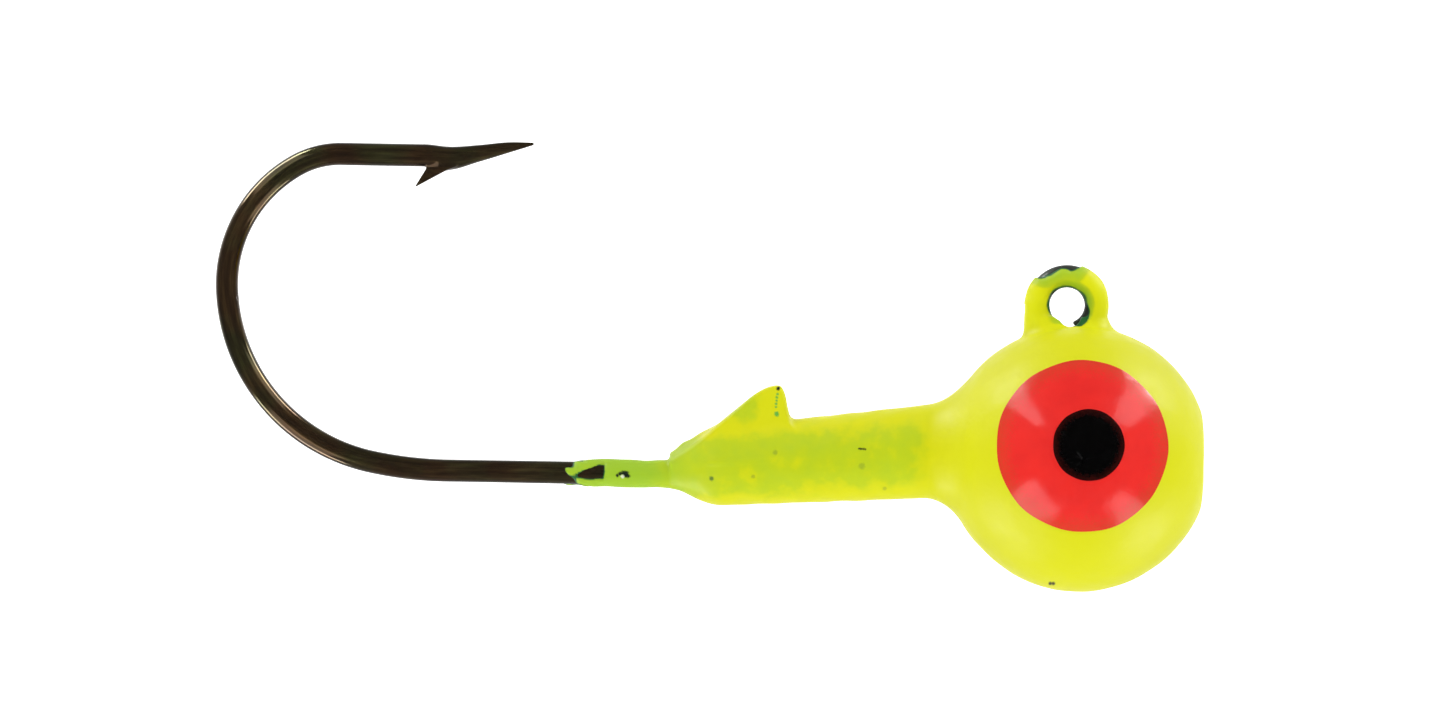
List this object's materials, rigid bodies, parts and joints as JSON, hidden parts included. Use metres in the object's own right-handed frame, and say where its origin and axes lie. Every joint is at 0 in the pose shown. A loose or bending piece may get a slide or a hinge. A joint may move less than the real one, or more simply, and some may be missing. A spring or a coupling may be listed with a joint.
{
  "type": "jig head",
  "caption": "Ball jig head: right-angle jig hook with a lead head cast on it, a tapered collar with a bait keeper, powder paint and painted eyes.",
  "frame": {"origin": "centre of the line-tie hole", "axes": "+X along the shank towards the nose, +Y across the hook's plane, out of the left side, +Z from the shank towards the line tie and the hook's point"},
  "size_m": [0.0434, 0.0118, 0.0193],
  "materials": {
    "bronzed_wire": "bronzed steel wire, dark brown, semi-gloss",
    "cast_lead": "cast lead, dull grey",
    "chartreuse_paint": "baked powder paint, fluorescent yellow-green, gloss",
    "red_paint": "gloss red paint",
    "black_paint": "gloss black paint"
  },
  "bodies": {
    "root": {"hook": "bronzed_wire", "lead_head": "cast_lead", "paint_coat": "chartreuse_paint", "right_eye_iris": "red_paint", "right_eye_pupil": "black_paint", "left_eye_iris": "red_paint", "left_eye_pupil": "black_paint"}
  },
  "joints": []
}
